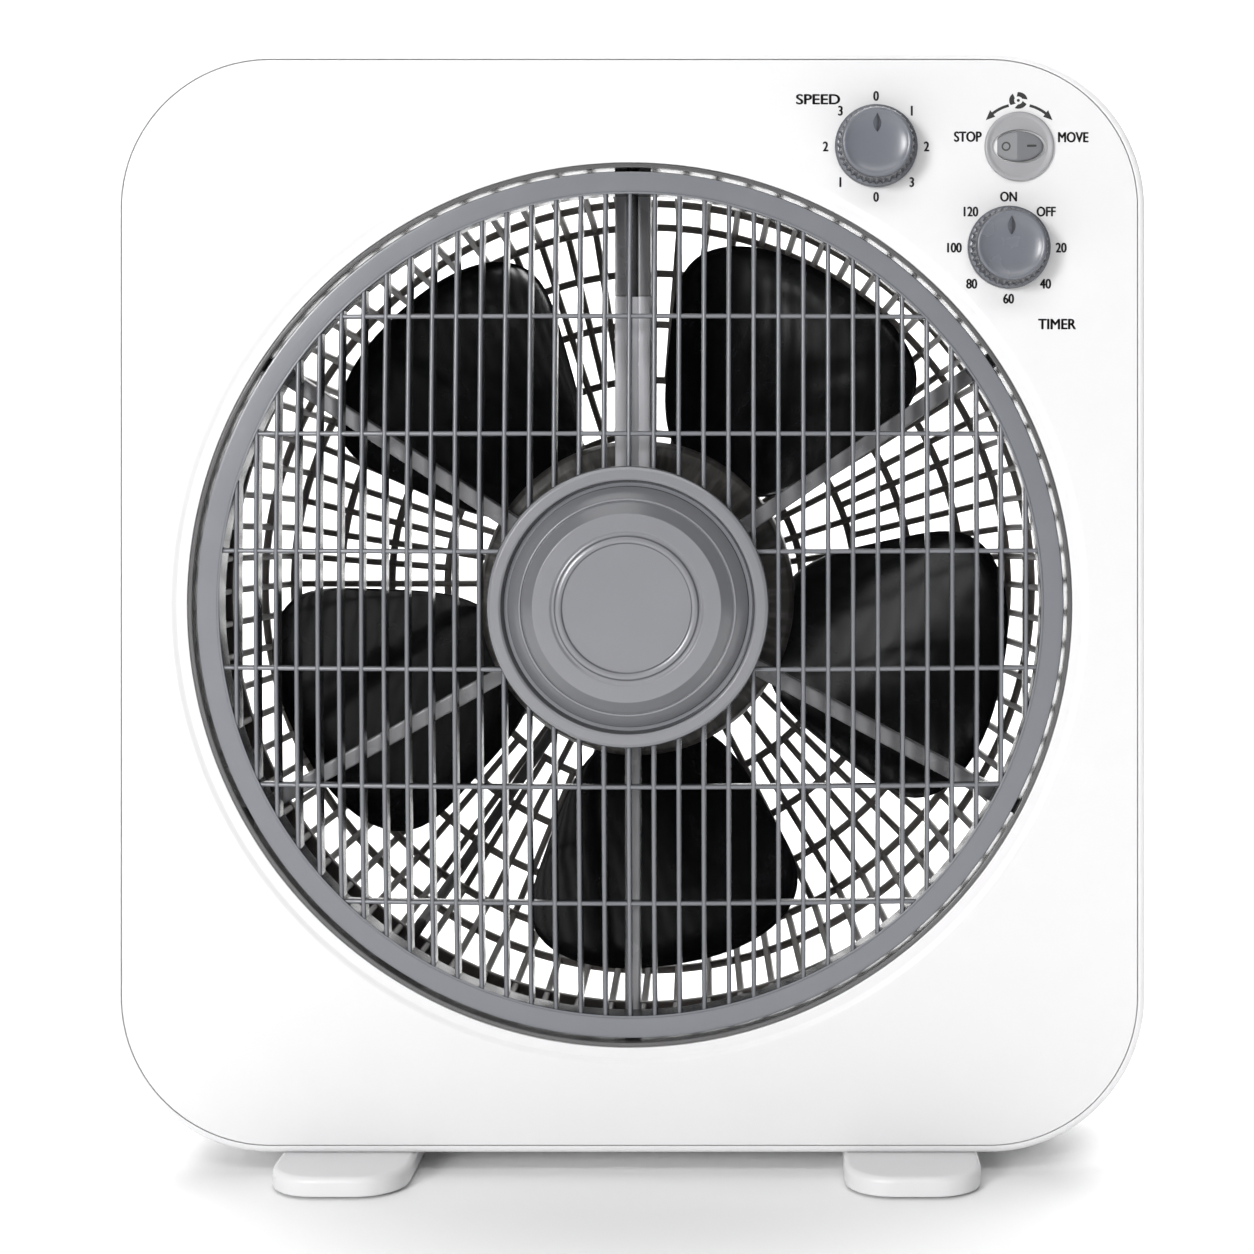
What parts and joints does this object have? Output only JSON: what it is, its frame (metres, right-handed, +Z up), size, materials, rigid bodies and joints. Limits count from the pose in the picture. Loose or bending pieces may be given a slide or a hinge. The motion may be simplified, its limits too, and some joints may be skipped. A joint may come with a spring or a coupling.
{
  "type": "box fan",
  "caption": "Square box fan on two feet, with a slow turning louvre wheel in front of the blades, a domed rear net, two dials and a rocker switch.",
  "frame": {"origin": "on the floor, midway between the left and right sides and midway along the feet", "axes": "+Z up, +Y from the front panel to the rear net, +X to the right seen from the front"},
  "size_m": [0.37, 0.186, 0.403],
  "materials": {
    "white_shell": "satin white moulded plastic",
    "grey_trim": "satin blue-grey moulded plastic",
    "cap_grey": "satin light grey moulded plastic",
    "dark_net": "dark brown-grey moulded plastic",
    "knob_slate": "slate moulded plastic",
    "bezel_grey": "light grey moulded plastic",
    "blade_black": "glossy black moulded plastic",
    "black_plastic": "black moulded plastic",
    "steel": "bright zinc-plated steel",
    "motor_steel": "galvanised sheet steel",
    "laminations": "stacked electrical steel",
    "copper_wire": "enamelled copper wire",
    "bronze": "sintered bronze",
    "rubber_pad": "soft black rubber",
    "switch_plastic": "natural nylon",
    "capacitor_grey": "light grey potted box",
    "lead_sheath": "flexible sheath"
  },
  "bodies": {
    "housing": {"front_panel": "white_shell", "rear_housing": "white_shell", "rear_grille": "dark_net", "louvre_spider": "grey_trim", "channel_cover": "cap_grey", "swing_motor": "motor_steel", "swing_motor_screws": "steel", "motor_front_shell": "motor_steel", "motor_rear_shell": "motor_steel", "stator_core": "laminations", "stator_windings": "copper_wire", "front_bearing": "bronze", "rear_bearing": "bronze", "motor_screws": "steel", "speed_switch": "switch_plastic", "timer_case": "motor_steel", "rocker_bezel": "bezel_grey", "rocker_switch_case": "black_plastic", "capacitor": "capacitor_grey", "terminal_block": "switch_plastic", "motor_lead": "lead_sheath", "swing_lead": "lead_sheath", "cord_gland": "black_plastic", "left_foot": "white_shell", "right_foot": "white_shell", "foot_pads": "rubber_pad", "foot_screws": "steel", "housing_screws": "steel", "grille_screws": "steel", "spider_screws": "steel"},
    "fan_rotor": {"fan_blade": "blade_black", "blade_nut": "black_plastic", "main_shaft": "steel", "drive_pin": "steel", "rotor_core": "laminations"},
    "louvre_wheel": {"louvre_grille": "grey_trim", "louvre_cap": "cap_grey", "wheel_screw": "steel", "swing_shaft": "steel"},
    "speed_dial": {"speed_knob": "knob_slate", "speed_shaft": "switch_plastic"},
    "timer_dial": {"timer_knob": "knob_slate", "timer_shaft": "steel"},
    "rocker": {"rocker_button": "knob_slate"}
  },
  "joints": [
    {"name": "blade_spin", "type": "hinge", "parent": "housing", "child": "fan_rotor", "pos_m": [0, 0, 0.2045], "axis": [0, 1, 0], "continuous": true},
    {"name": "louvre_spin", "type": "hinge", "parent": "housing", "child": "louvre_wheel", "pos_m": [0, -0.06, 0.2045], "axis": [0, 1, 0], "continuous": true},
    {"name": "speed_turn", "type": "hinge", "parent": "housing", "child": "speed_dial", "pos_m": [0.0884, -0.065, 0.369], "axis": [0, 1, 0], "continuous": true},
    {"name": "timer_turn", "type": "hinge", "parent": "housing", "child": "timer_dial", "pos_m": [0.1359, -0.065, 0.3327], "axis": [0, 1, 0], "range_deg": [0, 315]},
    {"name": "rocker_tilt", "type": "hinge", "parent": "housing", "child": "rocker", "pos_m": [0.1397, -0.0628, 0.3689], "axis": [0, 0, 1], "range_deg": [0, 24]}
  ]
}
